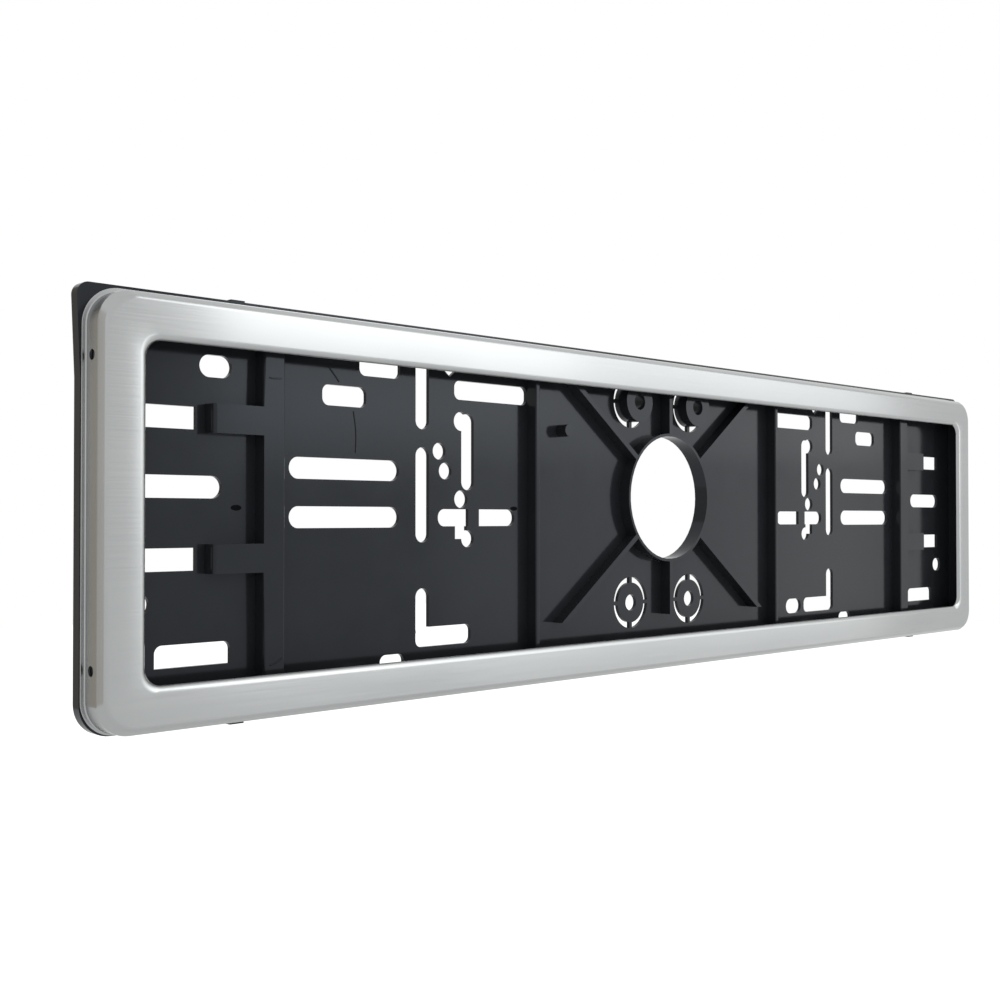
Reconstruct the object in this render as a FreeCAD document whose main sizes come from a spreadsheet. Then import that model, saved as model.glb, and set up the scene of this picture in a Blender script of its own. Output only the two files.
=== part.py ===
import FreeCAD, Part

import math
import os

import Sketcher

# Number plate holder for a 520 by 110 mm plate: a black moulded tray that is bolted to the car,
# and a pressed stainless frame that snaps over the tray and clamps the plate's edges.
#
# Axes: X runs along the plate, the front faces -Y and Z is up. The back of the tray lies in
# the plane Y = 0, and the origin is the centre of the four long bolt slots.
# Every outline is drawn about the centre of the frame's window, and each height is measured
# from the back plane towards the front. The bodies are lowered by bolt_slot_rise at the end.

SIZES = {
    # Window and face of the pressed frame
    "window_length": 515.8,
    "window_height": 103.5,
    "window_corner_radius": 5.4,
    "border_width": 14.2,
    "trim_corner_radius": 10.5,
    # Section of the pressed frame, from its window outwards
    "sheet_gauge": 0.6,
    "lip_depth": 2.2,
    "lip_bend_radius": 2.0,
    "band_width": 1.6,
    "band_depth": 2.4,
    "trim_depth": 10.0,
    "flange_width": 1.5,
    "flange_foot_width": 0.4,
    # Small holes in the end walls of the frame
    "end_hole_radius": 1.3,
    "end_hole_rise": 46.2,
    "end_hole_setback": 6.0,
    # Outer shape of the tray
    "floor_gauge": 1.5,
    "rim_height": 3.75,
    "tray_end_margin": 0.2,
    "tray_top_margin": 0.9,
    "tray_bottom_margin": 0.2,
    "tray_top_corner_radius": 3.8,
    "tray_bottom_corner_radius": 10.0,
    "ear_flare": 1.25,
    "ear_foot_rise": 40.0,
    # Wall of the tray that stands inside the frame's skirt
    "wall_gauge": 1.5,
    "skirt_clearance": 0.3,
    # Ribs that carry the number plate
    "rib_height": 5.35,
    "partition_near": 82.0,
    "partition_gauge": 2.5,
    "bar_near": 203.3,
    "bar_width": 8.3,
    "core_wall": 1.6,
    "finger_reach": 19.0,
    "finger_width": 9.4,
    "upper_finger_rise": 30.05,
    "lower_finger_drop": 14.55,
    # Hub round the cable hole, with the ribs that run to it
    "hub_offset": 0.3,
    "hub_rise": 7.55,
    "hub_bore_radius": 26.9,
    "hub_wall": 1.2,
    "cross_rib_angle": 37.0,
    "cross_rib_gauge": 2.2,
    "cross_rib_foot_drop": 43.7,
    "centre_rib_offset": 0.75,
    "centre_rib_gauge": 2.1,
    "peg_reach": 65.0,
    "peg_rise": 34.0,
    "peg_radius": 2.5,
    # Knock-out discs either side of the centre rib
    "disc_reach": 20.4,
    "lower_disc_drop": 37.85,
    "upper_disc_rise": 48.4,
    "disc_ring_radius": 11.0,
    "disc_radius": 8.6,
    "disc_bridge_width": 1.7,
    "disc_hole_radius": 3.47,
    # Widths and corner radii that the slots share
    "slot_width": 7.2,
    "slot_corner_radius": 2.6,
    "track_width": 6.4,
    "dash_width": 6.4,
    "dash_corner_radius": 3.0,
    # Long slots for the bolts
    "bolt_slot_near": 150.2,
    "bolt_slot_length": 48.0,
    "bolt_slot_width": 7.4,
    "bolt_slot_rise": 7.1,
    "bolt_slot_pitch": 16.7,
    # Slots of the outer fields, beyond the bars
    "window_slot_near": 233.7,
    "window_slot_length": 21.5,
    "end_slot_near": 224.2,
    "end_slot_length": 31.4,
    "end_slot_rise": 8.3,
    "foot_slot_near": 220.9,
    "foot_slot_length": 27.2,
    "foot_slot_drop": 44.65,
    "eye_slot_near": 250.0,
    "eye_slot_length": 9.0,
    "eye_slot_drop": 28.15,
    # Slots of the middle fields, between the bars and the partitions
    "short_slot_near": 165.3,
    "short_slot_length": 19.1,
    "short_slot_rise": 40.95,
    "top_slot_near": 149.7,
    "top_slot_length": 18.6,
    "top_slot_rise": 52.3,
    "sole_slot_near": 147.9,
    "sole_slot_length": 11.1,
    "sole_slot_drop": 54.1,
    "inner_slot_near": 84.5,
    "inner_slot_length": 38.7,
    "inner_slot_rise": 46.75,
    "track_line": 139.1,
    "track_foot_drop": 10.5,
    "track_head_rise": 24.5,
    "high_track_foot_rise": 31.1,
    "high_track_head_rise": 57.5,
    "boot_near": 114.8,
    "boot_drop": 45.2,
    "boot_head_drop": 27.3,
    "key_line": 116.4,
    "key_foot_rise": 9.0,
    "key_head_rise": 38.0,
    "eyelet_line": 119.8,
    "eyelet_radius": 3.6,
    "key_eyelet_rise": 35.0,
    "drop_eyelet_rise": 5.6,
    "drop_eyelet_radius": 3.35,
    "outer_dash_near": 116.0,
    "outer_dash_length": 15.4,
    "inner_dash_near": 91.3,
    "inner_dash_length": 19.1,
    "dash_drop": 1.4,
    "dash_foot_drop": 9.4,
    "dash_foot_width": 6.0,
    "dash_toe_radius": 3.2,
    "pinhole_radius": 3.15,
    "outer_pinhole_line": 130.8,
    "outer_pinhole_rise": 23.35,
    "inner_pinhole_line": 127.75,
    "inner_pinhole_rise": 16.05,
    "arrow_line": 125.5,
    "arrow_tip_rise": 51.5,
    "arrow_height": 4.5,
    "arrow_half_width": 5.6,
    # Two slots that have no twin on the other side
    "left_slot_near": 220.6,
    "left_slot_length": 11.9,
    "left_slot_rise": 47.05,
    "right_slot_near": 98.9,
    "right_slot_length": 13.2,
    "right_slot_drop": 45.25,
    # Low tabs on the tray's top and bottom edges
    "tab_line": 219.75,
    "tab_width": 5.2,
    "top_tab_rise": 0.5,
    "bottom_tab_drop": 1.2,
}

# Two heights within this distance, in mm, are the same one
SAME_PLACE = 1e-4


class Size:
    """A length with its value and the sheet formula that it comes from."""

    def __init__(self, value, formula):
        self.value = float(value)
        self.formula = formula

    def __add__(self, other):
        other = as_size(other)
        return Size(self.value + other.value, "(%s + %s)" % (self.formula, other.formula))

    def __sub__(self, other):
        other = as_size(other)
        return Size(self.value - other.value, "(%s - %s)" % (self.formula, other.formula))

    def __mul__(self, other):
        other = as_size(other)
        return Size(self.value * other.value, "(%s * %s)" % (self.formula, other.formula))

    def __truediv__(self, other):
        other = as_size(other)
        return Size(self.value / other.value, "(%s / %s)" % (self.formula, other.formula))

    def __neg__(self):
        return Size(-self.value, "(0 - %s)" % self.formula)


def as_size(number):
    """A plain number or a Size, given as a Size."""
    if isinstance(number, Size):
        return number
    return Size(number, repr(float(number)))


def sine(angle):
    return Size(math.sin(math.radians(angle.value)), "sin(%s * 1 deg)" % angle.formula)


def tangent(angle):
    return Size(math.tan(math.radians(angle.value)), "tan(%s * 1 deg)" % angle.formula)


class SizeSheet:
    """The driving sizes in a spreadsheet, each read by its alias as a Size."""

    def __init__(self, document):
        self.sheet = document.addObject("Spreadsheet::Sheet", "Sizes")
        for row, (name, value) in enumerate(SIZES.items(), start=1):
            self.sheet.set("A%d" % row, name.replace("_", " "))
            self.sheet.set("B%d" % row, str(value))
            self.sheet.setAlias("B%d" % row, name)
        document.recompute()

    def __getattr__(self, name):
        return Size(self.sheet.get(name), "Sizes.%s" % name)


class Outline:
    """Closed outlines drawn in one sketch, on a plane that is parallel to the back of the tray."""

    def __init__(self, body, name, height, plane="XZ_Plane"):
        self.sketch = body.newObject("Sketcher::SketchObject", name)
        self.sketch.AttachmentSupport = [(origin_plane(body, plane), "")]
        self.sketch.MapMode = "FlatFace"
        self.sketch.setExpression("AttachmentOffset.Base.z", as_size(height).formula)
        self.curves = []
        self.guides = []
        self.rules = []
        self.formulas = {}

    def line(self, start, end):
        start = FreeCAD.Vector(start[0], start[1], 0)
        end = FreeCAD.Vector(end[0], end[1], 0)
        self.curves.append(Part.LineSegment(start, end))
        return len(self.curves) - 1

    def arc(self, centre, radius, start_degrees, end_degrees):
        circle = Part.Circle(FreeCAD.Vector(centre[0], centre[1], 0), FreeCAD.Vector(0, 0, 1), radius)
        start, end = math.radians(start_degrees), math.radians(end_degrees)
        self.curves.append(Part.ArcOfCircle(circle, start, end))
        return len(self.curves) - 1

    def guide_point(self, point):
        """A point that only holds the curves in their places."""
        self.curves.append(Part.Point(point))
        self.guides.append(len(self.curves) - 1)
        return self.guides[-1]

    def rule(self, *terms):
        self.rules.append(Sketcher.Constraint(*terms))

    def bind(self, kind, *terms):
        """A dimension whose value is a Size, given last."""
        size = as_size(terms[-1])
        self.formulas[len(self.rules)] = size.formula
        self.rules.append(Sketcher.Constraint(kind, *terms[:-1], size.value))

    def place(self, curve, point, across=None, up=None):
        """Holds a point of a curve at its distances from the sketch's origin."""
        if across is not None:
            self.bind("DistanceX", -1, 1, curve, point, across)
        if up is not None:
            self.bind("DistanceY", -1, 1, curve, point, up)

    def rectangle(self, left, right, bottom, top, radii=(0, 0, 0, 0)):
        """A rectangle with corner radii at bottom left, bottom right, top right and top left."""
        left, right, bottom, top = [as_size(side) for side in (left, right, bottom, top)]
        radii = [as_size(radius) for radius in radii]
        corners = ((left, bottom), (right, bottom), (right, top), (left, top))
        inward = ((1, 1), (-1, 1), (-1, -1), (1, -1))
        centres = [(x.value + sx * r.value, z.value + sz * r.value)
                   for (x, z), (sx, sz), r in zip(corners, inward, radii)]
        start_points = ((centres[0][0], bottom.value), (right.value, centres[1][1]),
                        (centres[2][0], top.value), (left.value, centres[3][1]))
        end_points = ((centres[1][0], bottom.value), (right.value, centres[2][1]),
                      (centres[3][0], top.value), (left.value, centres[0][1]))
        sides = [self.line(start, end) for start, end in zip(start_points, end_points)]
        for side, direction in zip(sides, ("Horizontal", "Vertical", "Horizontal", "Vertical")):
            self.rule(direction, side)
        rounded = {}
        for index, radius in enumerate(radii):
            before, after = sides[index - 1], sides[index]
            if radius.value == 0:
                self.rule("Coincident", before, 2, after, 1)
                continue
            turn = self.arc(centres[index], radius.value, 180 + 90 * index, 270 + 90 * index)
            self.rule("Tangent", before, 2, turn, 1)
            self.rule("Tangent", turn, 2, after, 1)
            if radius.formula in rounded:
                self.rule("Equal", rounded[radius.formula], turn)
            else:
                self.bind("Radius", turn, radius)
                rounded[radius.formula] = turn
        self.place(sides[3], 1, across=left)
        self.place(sides[1], 1, across=right)
        self.place(sides[0], 1, up=bottom)
        self.place(sides[2], 1, up=top)

    def flat_slot(self, left, right, middle, width):
        """A slot along X with half-round ends."""
        radius = width / 2
        ends = (left + radius, right - radius)
        lower, upper = middle - radius, middle + radius
        low_line = self.line((ends[0].value, lower.value), (ends[1].value, lower.value))
        right_arc = self.arc((ends[1].value, middle.value), radius.value, -90, 90)
        high_line = self.line((ends[1].value, upper.value), (ends[0].value, upper.value))
        left_arc = self.arc((ends[0].value, middle.value), radius.value, 90, 270)
        self.close_slot("Horizontal", low_line, right_arc, high_line, left_arc)
        self.place(left_arc, 3, across=ends[0])
        self.place(right_arc, 3, across=ends[1])
        self.place(low_line, 1, up=lower)
        self.place(high_line, 1, up=upper)

    def upright_slot(self, middle, width, bottom, top):
        """A slot along Z with half-round ends."""
        radius = width / 2
        ends = (bottom + radius, top - radius)
        near, far = middle - radius, middle + radius
        right_line = self.line((far.value, ends[0].value), (far.value, ends[1].value))
        top_arc = self.arc((middle.value, ends[1].value), radius.value, 0, 180)
        left_line = self.line((near.value, ends[1].value), (near.value, ends[0].value))
        bottom_arc = self.arc((middle.value, ends[0].value), radius.value, 180, 360)
        self.close_slot("Vertical", right_line, top_arc, left_line, bottom_arc)
        self.place(bottom_arc, 3, up=ends[0])
        self.place(top_arc, 3, up=ends[1])
        self.place(left_line, 1, across=near)
        self.place(right_line, 1, across=far)

    def close_slot(self, direction, first_line, first_arc, second_line, second_arc):
        ring = (first_line, first_arc, second_line, second_arc)
        for before, after in zip(ring, ring[1:] + ring[:1]):
            self.rule("Tangent", before, 2, after, 1)
        self.rule(direction, first_line)
        self.rule("Equal", first_arc, second_arc)

    def circle(self, across, up, radius):
        across, up, radius = as_size(across), as_size(up), as_size(radius)
        centre = FreeCAD.Vector(across.value, up.value, 0)
        self.curves.append(Part.Circle(centre, FreeCAD.Vector(0, 0, 1), radius.value))
        curve = len(self.curves) - 1
        self.bind("Radius", curve, radius)
        self.place(curve, 3, across, up)

    def polygon(self, corners):
        corners = [(as_size(across), as_size(up)) for across, up in corners]
        following = corners[1:] + corners[:1]
        sides = [self.line((a.value, b.value), (c.value, d.value))
                 for (a, b), (c, d) in zip(corners, following)]
        for before, after in zip(sides, sides[1:] + sides[:1]):
            self.rule("Coincident", before, 2, after, 1)
        for side, (across, up) in zip(sides, corners):
            self.place(side, 1, across, up)

    def rounded_polygon(self, corners, radii):
        """Straight sides, counterclockwise round the corners, each corner rounded by its radius."""
        corners = [(as_size(across), as_size(up)) for across, up in corners]
        radii = [as_size(radius) for radius in radii]
        points = [FreeCAD.Vector(across.value, up.value, 0) for across, up in corners]
        turns = []
        for point, before, after, radius in zip(points, points[-1:] + points, points[1:] + points[:1], radii):
            backward, forward = (before - point).normalize(), (after - point).normalize()
            half_angle = backward.getAngle(forward) / 2
            run = radius.value / math.tan(half_angle)
            centre = point + (backward + forward).normalize() * (radius.value / math.sin(half_angle))
            turns.append((point + backward * run, point + forward * run, centre))
        sides = [self.line(turns[index - 1][1], turn[0]) for index, turn in enumerate(turns)]
        for index, (start, end, centre) in enumerate(turns):
            before, after = sides[index], sides[(index + 1) % len(sides)]
            if radii[index].value == 0:
                self.rule("Coincident", before, 2, after, 1)
                self.place(after, 1, *corners[index])
                continue
            angles = [math.degrees(math.atan2(end.y - centre.y, end.x - centre.x)) for end in (start, end)]
            if angles[1] < angles[0]:
                angles[1] += 360
            turn = self.arc(centre, radii[index].value, *angles)
            self.rule("Tangent", before, 2, turn, 1)
            self.rule("Tangent", turn, 2, after, 1)
            self.bind("Radius", turn, radii[index])
            peak = self.guide_point(points[index])
            self.place(peak, 1, *corners[index])
            self.rule("PointOnObject", peak, 1, before)
            self.rule("PointOnObject", peak, 1, after)

    def plus(self, across, up, reach, width):
        """A cross with four equal arms."""
        half = width / 2
        corners = []
        for right, rise in ((1, 1), (-1, 1), (-1, -1), (1, -1)):
            arm = [(across + reach * right, up + half * rise),
                   (across + half * right, up + half * rise),
                   (across + half * right, up + reach * rise)]
            corners += arm if right * rise > 0 else arm[::-1]
        self.polygon(corners)

    def draw(self):
        """Puts the curves and their rules in the sketch, and binds the dimensions to the sheet."""
        self.sketch.addGeometry(self.curves, False)
        for index in self.guides:
            self.sketch.setConstruction(index, True)
        self.sketch.addConstraint(self.rules)
        for index, formula in self.formulas.items():
            self.sketch.setExpression("Constraints[%d]" % index, formula)
        return self.sketch


def origin_plane(body, role):
    return [plane for plane in body.Origin.OriginFeatures if plane.Role == role][0]


def add_body(document, label):
    body = document.addObject("PartDesign::Body", label)
    body.Label = label
    return body


def pad(body, name, outline, length):
    """Material from the outline's plane towards the front."""
    feature = body.newObject("PartDesign::Pad", name)
    feature.Profile = outline.draw()
    feature.setExpression("Length", as_size(length).formula)
    return feature


def pocket(body, name, outline):
    """Cuts everything from the outline's plane to the back."""
    feature = body.newObject("PartDesign::Pocket", name)
    feature.Profile = outline.draw()
    feature.Type = "ThroughAll"
    return feature


def pocket_from_back(body, name, outline, depth):
    """Cuts from the outline's plane towards the front, to a depth."""
    feature = body.newObject("PartDesign::Pocket", name)
    feature.Profile = outline.draw()
    feature.Reversed = True
    feature.setExpression("Length", as_size(depth).formula)
    return feature


def mirror(body, name, originals):
    """Repeats the left half's features on the right."""
    feature = body.newObject("PartDesign::Mirrored", name)
    feature.Originals = originals
    feature.MirrorPlane = (origin_plane(body, "YZ_Plane"), [""])
    body.Tip = feature
    return feature


class Layout:
    """Sizes that both pieces use, worked out from the sheet."""

    def __init__(self, sizes):
        self.holder_depth = sizes.rim_height + sizes.trim_depth
        self.window_half_length = sizes.window_length / 2
        self.window_half_height = sizes.window_height / 2
        self.lip_back = self.holder_depth - sizes.lip_depth
        self.trim_half_length = self.window_half_length + sizes.border_width
        self.trim_half_height = self.window_half_height + sizes.border_width
        self.flange_back = sizes.rim_height
        self.flange_half_length = self.trim_half_length + sizes.flange_width
        self.flange_top = self.trim_half_height + sizes.flange_width
        self.flange_bottom = -(self.trim_half_height + sizes.flange_foot_width)
        self.rib_front = sizes.floor_gauge + sizes.rib_height
        self.tray_half_length = self.flange_half_length + sizes.tray_end_margin
        self.tray_top = self.flange_top + sizes.tray_top_margin
        self.tray_bottom = self.flange_bottom - sizes.tray_bottom_margin
        skirt_gap = sizes.sheet_gauge + sizes.skirt_clearance
        self.wall_half_length = self.trim_half_length - skirt_gap
        self.wall_half_height = self.trim_half_height - skirt_gap
        self.wall_corner_radius = sizes.trim_corner_radius - skirt_gap
        self.wall_front = self.holder_depth - sizes.band_depth - sizes.skirt_clearance


def flat_edges(shape, height, half_length, half_height):
    """Names of a rounded rectangle's edges: they lie at one height above the back."""
    names = []
    for index, edge in enumerate(shape.Edges, start=1):
        box = edge.BoundBox
        level = all(abs(end + height.value) < SAME_PLACE for end in (box.YMin, box.YMax))
        on_end = abs(max(abs(box.XMin), abs(box.XMax)) - half_length.value) < SAME_PLACE
        on_side = abs(max(abs(box.ZMin), abs(box.ZMax)) - half_height.value) < SAME_PLACE
        if level and (on_end or on_side):
            names.append("Edge%d" % index)
    return names


def flat_faces(shape, height):
    """Names of the faces that lie flat at one height above the back."""
    names = []
    for index, face in enumerate(shape.Faces, start=1):
        if all(abs(end + height.value) < SAME_PLACE for end in (face.BoundBox.YMin, face.BoundBox.YMax)):
            names.append("Face%d" % index)
    return names


def round_edges(document, body, name, place, radius):
    """A fillet along the edges of a rounded rectangle, which place gives as for flat_edges."""
    base = body.Tip
    feature = body.newObject("PartDesign::Fillet", name)
    feature.Base = (base, flat_edges(base.Shape, *place))
    feature.setExpression("Radius", as_size(radius).formula)
    document.recompute()


def build_trim_frame(document, sizes, layout):
    """The pressed sheet: window lip, flat face, sloped band, skirt and rear flange."""
    body = add_body(document, "trim_frame")
    half_length, half_height = layout.trim_half_length, layout.trim_half_height
    window_half_length, window_half_height = layout.window_half_length, layout.window_half_height

    blank = Outline(body, "blank_outline", layout.flange_back)
    blank.rectangle(-half_length, half_length, -half_height, half_height, [sizes.trim_corner_radius] * 4)
    blank.rectangle(-window_half_length, window_half_length, -window_half_height, window_half_height,
                    [sizes.window_corner_radius] * 4)
    blank_pad = pad(body, "blank", blank, sizes.trim_depth)
    document.recompute()

    band = body.newObject("PartDesign::Chamfer", "band")
    front_edges = (layout.holder_depth, half_length, half_height)
    band.Base = (blank_pad, flat_edges(blank_pad.Shape, *front_edges))
    band.ChamferType = "Two distances"
    band.FlipDirection = True
    band.setExpression("Size", sizes.band_width.formula)
    band.setExpression("Size2", sizes.band_depth.formula)
    document.recompute()
    lip_edges = (layout.holder_depth, window_half_length, window_half_height)
    round_edges(document, body, "lip_bend", lip_edges, sizes.lip_bend_radius)

    solid = body.Tip
    sheet = body.newObject("PartDesign::Thickness", "sheet")
    sheet.Base = (solid, flat_faces(solid.Shape, layout.flange_back))
    sheet.Reversed = True
    sheet.Join = "Intersection"
    sheet.setExpression("Value", sizes.sheet_gauge.formula)

    lip_trim = Outline(body, "lip_trim_outline", layout.lip_back)
    reach = sizes.lip_bend_radius
    lip_trim.rectangle(-(window_half_length + reach), window_half_length + reach,
                       -(window_half_height + reach), window_half_height + reach,
                       [sizes.window_corner_radius + reach] * 4)
    pocket(body, "lip_trim", lip_trim)

    flange = Outline(body, "flange_outline", layout.flange_back)
    flange.rectangle(-layout.flange_half_length, layout.flange_half_length,
                     layout.flange_bottom, layout.flange_top,
                     [sizes.trim_corner_radius + sizes.flange_foot_width] * 2
                     + [sizes.trim_corner_radius + sizes.flange_width] * 2)
    inner_length, inner_height = half_length - sizes.sheet_gauge, half_height - sizes.sheet_gauge
    flange.rectangle(-inner_length, inner_length, -inner_height, inner_height,
                     [sizes.trim_corner_radius - sizes.sheet_gauge] * 4)
    pad(body, "flange", flange, sizes.sheet_gauge)

    holes = Outline(body, "end_hole_outline", 0, "YZ_Plane")
    for rise in (sizes.end_hole_rise, -sizes.end_hole_rise):
        holes.circle(sizes.end_hole_setback - layout.holder_depth, rise, sizes.end_hole_radius)
    pierced = body.newObject("PartDesign::Pocket", "end_holes")
    pierced.Profile = holes.draw()
    pierced.Type = "ThroughAll"
    pierced.Midplane = True
    return body


def draw_tray_shell(body, sizes, layout):
    """Floor, rim under the frame's flange, and the wall inside the frame's skirt."""
    end, ear_end = layout.tray_half_length, layout.tray_half_length + sizes.ear_flare
    low_radius, high_radius = sizes.tray_bottom_corner_radius, sizes.tray_top_corner_radius
    outer = [(-end, layout.tray_bottom), (end, layout.tray_bottom), (end, sizes.ear_foot_rise),
             (ear_end, layout.tray_top), (-ear_end, layout.tray_top), (-end, sizes.ear_foot_rise)]
    outer_radii = [low_radius, low_radius, 0, high_radius, high_radius, 0]
    wall = (-layout.wall_half_length, layout.wall_half_length,
            -layout.wall_half_height, layout.wall_half_height)
    gauge = sizes.wall_gauge
    inside = (gauge - layout.wall_half_length, layout.wall_half_length - gauge,
              gauge - layout.wall_half_height, layout.wall_half_height - gauge)
    inside_radii = [layout.wall_corner_radius - gauge] * 4

    floor = Outline(body, "floor_outline", 0)
    floor.rounded_polygon(outer, outer_radii)
    pad(body, "floor", floor, sizes.floor_gauge)
    rim = Outline(body, "rim_outline", sizes.floor_gauge)
    rim.rounded_polygon(outer, outer_radii)
    rim.rectangle(*inside, inside_radii)
    pad(body, "rim", rim, sizes.rim_height - sizes.floor_gauge)
    skirt_wall = Outline(body, "skirt_wall_outline", sizes.floor_gauge)
    skirt_wall.rectangle(*wall, [layout.wall_corner_radius] * 4)
    skirt_wall.rectangle(*inside, inside_radii)
    pad(body, "skirt_wall", skirt_wall, layout.wall_front - sizes.floor_gauge)


def draw_hub_and_ribs(body, sizes, layout):
    """The hub round the cable hole, the slanted ribs that cross in it and the upright rib."""
    floor_front = sizes.floor_gauge
    hub = Outline(body, "hub_outline", floor_front)
    hub.circle(sizes.hub_offset, sizes.hub_rise, sizes.hub_bore_radius + sizes.hub_wall)
    pad(body, "hub", hub, sizes.rib_height)

    top, foot = layout.wall_half_height, -sizes.cross_rib_foot_drop
    half_width = sizes.cross_rib_gauge / 2 / sine(sizes.cross_rib_angle)
    for name, lean in (("rising_rib", 1), ("falling_rib", -1)):
        top_line = sizes.hub_offset + (top - sizes.hub_rise) / tangent(sizes.cross_rib_angle) * lean
        foot_line = sizes.hub_offset + (foot - sizes.hub_rise) / tangent(sizes.cross_rib_angle) * lean
        rib = Outline(body, name + "_outline", floor_front)
        rib.polygon([(foot_line - half_width, foot), (foot_line + half_width, foot),
                     (top_line + half_width, top), (top_line - half_width, top)])
        pad(body, name, rib, sizes.rib_height)

    centre_rib = Outline(body, "centre_rib_outline", floor_front)
    middle = sizes.hub_offset + sizes.centre_rib_offset
    centre_rib.rectangle(middle - sizes.centre_rib_gauge / 2, middle + sizes.centre_rib_gauge / 2, foot, top)
    pad(body, "centre_rib", centre_rib, sizes.rib_height)

    bore = Outline(body, "hub_bore_outline", layout.rib_front)
    bore.circle(sizes.hub_offset, sizes.hub_rise, sizes.hub_bore_radius)
    pocket(body, "hub_bore", bore)

    peg = Outline(body, "peg_outline", floor_front)
    peg.circle(-sizes.peg_reach, sizes.peg_rise, sizes.peg_radius)
    pad(body, "peg", peg, sizes.rib_height)


def draw_left_ribs(body, sizes, layout):
    """Partition, bar and fingers of the left half, each cored out from behind where it is wide."""
    end = layout.wall_half_height
    partition = Outline(body, "partition_outline", sizes.floor_gauge)
    partition.rectangle(-(sizes.partition_near + sizes.partition_gauge), -sizes.partition_near, -end, end)
    partition_pad = pad(body, "partition", partition, sizes.rib_height)

    bar_far = sizes.bar_near + sizes.bar_width
    bar = Outline(body, "bar_outline", sizes.floor_gauge)
    bar.rectangle(-bar_far, -sizes.bar_near, -end, end)
    bar_pad = pad(body, "bar", bar, sizes.rib_height)

    fingers = Outline(body, "finger_outline", sizes.floor_gauge)
    half_width = sizes.finger_width / 2
    for rise in (sizes.upper_finger_rise, -sizes.lower_finger_drop):
        fingers.rectangle(-(bar_far + sizes.finger_reach), -bar_far, rise - half_width, rise + half_width)
    finger_pad = pad(body, "fingers", fingers, sizes.rib_height)

    skin = sizes.core_wall
    core_depth = layout.rib_front - skin
    bar_core = Outline(body, "bar_core_outline", 0)
    core_end = end - sizes.wall_gauge - skin
    bar_core.rectangle(-(bar_far - skin), -(sizes.bar_near + skin), -core_end, core_end)
    bar_pocket = pocket_from_back(body, "bar_core", bar_core, core_depth)
    finger_core = Outline(body, "finger_core_outline", 0)
    for rise in (sizes.upper_finger_rise, -sizes.lower_finger_drop):
        finger_core.rectangle(-(bar_far + sizes.finger_reach - skin), -(sizes.bar_near + sizes.bar_width / 2),
                              rise - half_width + skin, rise + half_width - skin)
    finger_pocket = pocket_from_back(body, "finger_cores", finger_core, core_depth)
    return [partition_pad, bar_pad, finger_pad, bar_pocket, finger_pocket]


def draw_left_discs(body, sizes, layout):
    """Two knock-out discs: each hangs in its ring slot by four bridges, and the upper has a boss."""
    across = -sizes.disc_reach
    rises = (-sizes.lower_disc_drop, sizes.upper_disc_rise)
    boss = Outline(body, "disc_boss_outline", sizes.floor_gauge)
    boss.circle(across, sizes.upper_disc_rise, sizes.disc_radius)
    ring = Outline(body, "disc_ring_outline", sizes.floor_gauge)
    bridges = Outline(body, "disc_bridge_outline", 0)
    holes = Outline(body, "disc_hole_outline", layout.rib_front)
    for rise in rises:
        ring.circle(across, rise, sizes.disc_ring_radius)
        ring.circle(across, rise, sizes.disc_radius)
        bridges.plus(across, as_size(rise), sizes.disc_ring_radius + sizes.disc_bridge_width / 2,
                     sizes.disc_bridge_width)
        holes.circle(across, rise, sizes.disc_hole_radius)
    return [pad(body, "disc_boss", boss, sizes.rib_height),
            pocket(body, "disc_rings", ring),
            pad(body, "disc_bridges", bridges, sizes.floor_gauge),
            pocket(body, "disc_holes", holes)]


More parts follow.
